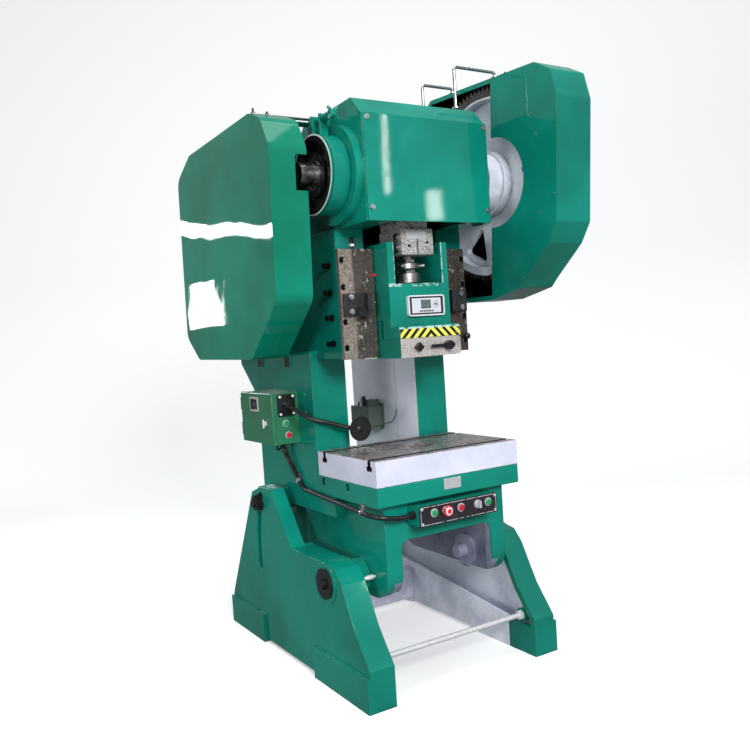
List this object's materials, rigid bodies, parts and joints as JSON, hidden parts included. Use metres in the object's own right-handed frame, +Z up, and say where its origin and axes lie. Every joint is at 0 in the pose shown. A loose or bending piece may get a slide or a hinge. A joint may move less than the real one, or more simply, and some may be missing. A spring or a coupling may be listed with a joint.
{
  "type": "mechanical stamping press",
  "caption": "C-frame mechanical stamping press with tilting frame, crank-driven slide, T-slot bolster, flywheel and gear guards, and two cast legs",
  "frame": {"origin": "on the floor, at the middle of the footprint of the whole press", "axes": "+Z up, +Y to the rear of the press, +X to the gear side; the slide and its controls face -Y"},
  "size_m": [1.104, 1.3918, 2.2649],
  "materials": {
    "green_paint": "glossy green machine enamel",
    "white_paint": "white enamel on the sides, bare steel on top",
    "grey_paint": "grey primer",
    "dark_paint": "dark grey enamel",
    "cast_iron": "bare mottled cast iron",
    "steel": "bare machined steel",
    "black_steel": "blackened steel",
    "bronze": "bronze bearing metal",
    "rubber": "black rubber",
    "black_plastic": "black plastic",
    "white_plastic": "white plastic",
    "green_plastic": "green plastic",
    "red_plastic": "red plastic",
    "hazard_film": "black and yellow hazard stripes",
    "lining": "woven brake lining"
  },
  "bodies": {
    "base": {"left_leg": "green_paint", "right_leg": "green_paint", "cross_beam": "grey_paint", "leg_fasteners": "steel", "pivot_bolts": "black_steel"},
    "crank": {"crankshaft": "steel", "clutch_key": "steel", "brake_drum": "black_steel"},
    "bull_wheel": {"bull_gear": "grey_paint"},
    "counter_shaft": {"countershaft": "steel", "pinion": "steel", "flywheel": "grey_paint"},
    "motor_rotor": {"motor_pulley": "steel"},
    "pitman": {"conrod": "green_paint", "conrod_cap": "green_paint", "rod_shells": "bronze", "conrod_bolts": "steel"},
    "screw": {"adjusting_screw": "steel"},
    "ram": {"slide": "green_paint", "shank_clamp": "cast_iron", "clamp_screws": "black_steel", "hazard_strip": "hazard_film", "stroke_counter": "white_plastic", "crush_plate": "cast_iron"},
    "door": {"cabinet_door": "green_paint"},
    "clutch_trip": {"clutch_lever": "steel"},
    "cabinet_start_button_body": {"cabinet_start_button": "green_plastic"},
    "cabinet_stop_button_body": {"cabinet_stop_button": "red_plastic"},
    "left_start_button_body": {"left_start_button": "green_plastic"},
    "stop_button_body": {"stop_button": "red_plastic"},
    "right_start_button_body": {"right_start_button": "green_plastic"},
    "emergency_stop_body": {"emergency_stop": "red_plastic"},
    "mode_switch_body": {"mode_switch": "black_plastic"},
    "frame": {"frame_casting": "green_paint", "frame_bushes": "bronze", "head_cover": "green_paint", "bolster": "white_paint", "left_gib": "cast_iron", "right_gib": "cast_iron", "stop_brackets": "dark_paint", "frame_fasteners": "steel", "brake_lining": "lining", "brake_band": "green_paint", "brake_tension": "steel", "v_belts": "rubber", "motor": "green_paint", "motor_base": "green_paint", "belt_guard": "green_paint", "gear_guard": "green_paint", "gear_guard_bars": "green_paint", "lock_bolts": "black_steel", "electric_cabinet": "green_paint", "lamp_base": "black_steel", "gooseneck": "rubber", "lamp_head": "black_plastic", "conduit": "rubber", "conduit_clips": "steel", "control_box": "dark_paint", "control_panel": "black_plastic", "lubricator": "dark_paint"}
  },
  "joints": [
    {"name": "frame_tilt", "type": "hinge", "parent": "base", "child": "frame", "pos_m": [0, -0.23008, 0.383], "axis": [-1, 0, 0], "range_deg": [0, 20]},
    {"name": "bull_gear_spin", "type": "hinge", "parent": "frame", "child": "bull_wheel", "pos_m": [0, -0.25408, 1.833], "axis": [1, 0, 0], "continuous": true},
    {"name": "countershaft_spin", "type": "hinge", "parent": "frame", "child": "counter_shaft", "pos_m": [0, 0.14578, 1.64], "axis": [1, 0, 0], "continuous": true},
    {"name": "motor_spin", "type": "hinge", "parent": "frame", "child": "motor_rotor", "pos_m": [0, 0.58192, 1.35], "axis": [1, 0, 0], "continuous": true},
    {"name": "crank_turn", "type": "hinge", "parent": "frame", "child": "crank", "pos_m": [0, -0.25408, 1.833], "axis": [-1, 0, 0], "range_deg": [0, 180]},
    {"name": "pitman_swing", "type": "hinge", "parent": "crank", "child": "pitman", "pos_m": [0, -0.25408, 1.883], "axis": [-1, 0, 0], "range_deg": [-180, 0]},
    {"name": "screw_turn", "type": "hinge", "parent": "pitman", "child": "screw", "pos_m": [0, -0.25408, 1.385], "axis": [0, 0, 1], "continuous": true},
    {"name": "ram_stroke", "type": "slide", "parent": "frame", "child": "ram", "axis": [0, 0, -1], "range_m": [0, 0.1]},
    {"name": "clutch_lever_trip", "type": "hinge", "parent": "frame", "child": "clutch_trip", "pos_m": [0, -0.07908, 1.775], "axis": [-1, 0, 0], "range_deg": [0, 12]},
    {"name": "cabinet_door_hinge", "type": "hinge", "parent": "frame", "child": "door", "pos_m": [-0.424, 0.41392, 0.856], "axis": [0, 0, -1], "range_deg": [0, 110]},
    {"name": "cabinet_start_press", "type": "slide", "parent": "frame", "child": "cabinet_start_button_body", "axis": [0, 1, 0], "range_m": [0, 0.004], "stiffness_N_per_m": 400},
    {"name": "cabinet_stop_press", "type": "slide", "parent": "frame", "child": "cabinet_stop_button_body", "axis": [0, 1, 0], "range_m": [0, 0.004], "stiffness_N_per_m": 400},
    {"name": "left_start_press", "type": "slide", "parent": "frame", "child": "left_start_button_body", "axis": [0, 1, 0], "range_m": [0, 0.005], "stiffness_N_per_m": 400},
    {"name": "stop_press", "type": "slide", "parent": "frame", "child": "stop_button_body", "axis": [0, 1, 0], "range_m": [0, 0.005], "stiffness_N_per_m": 400},
    {"name": "right_start_press", "type": "slide", "parent": "frame", "child": "right_start_button_body", "axis": [0, 1, 0], "range_m": [0, 0.005], "stiffness_N_per_m": 400},
    {"name": "emergency_press", "type": "slide", "parent": "frame", "child": "emergency_stop_body", "axis": [0, 1, 0], "range_m": [0, 0.004], "stiffness_N_per_m": 800},
    {"name": "mode_turn", "type": "hinge", "parent": "frame", "child": "mode_switch_body", "pos_m": [0.082, -0.45408, 0.629], "axis": [0, 1, 0], "range_deg": [-45, 45]}
  ],
  "couplings": [
    {"joint": "countershaft_spin", "follows": "bull_gear_spin", "ratio": -5.1667},
    {"joint": "motor_spin", "follows": "bull_gear_spin", "ratio": -25.095},
    {"joint": "pitman_swing", "follows": "crank_turn", "ratio": -1},
    {"joint": "ram_stroke", "follows": "crank_turn", "m_per_rad": 0.031831}
  ]
}
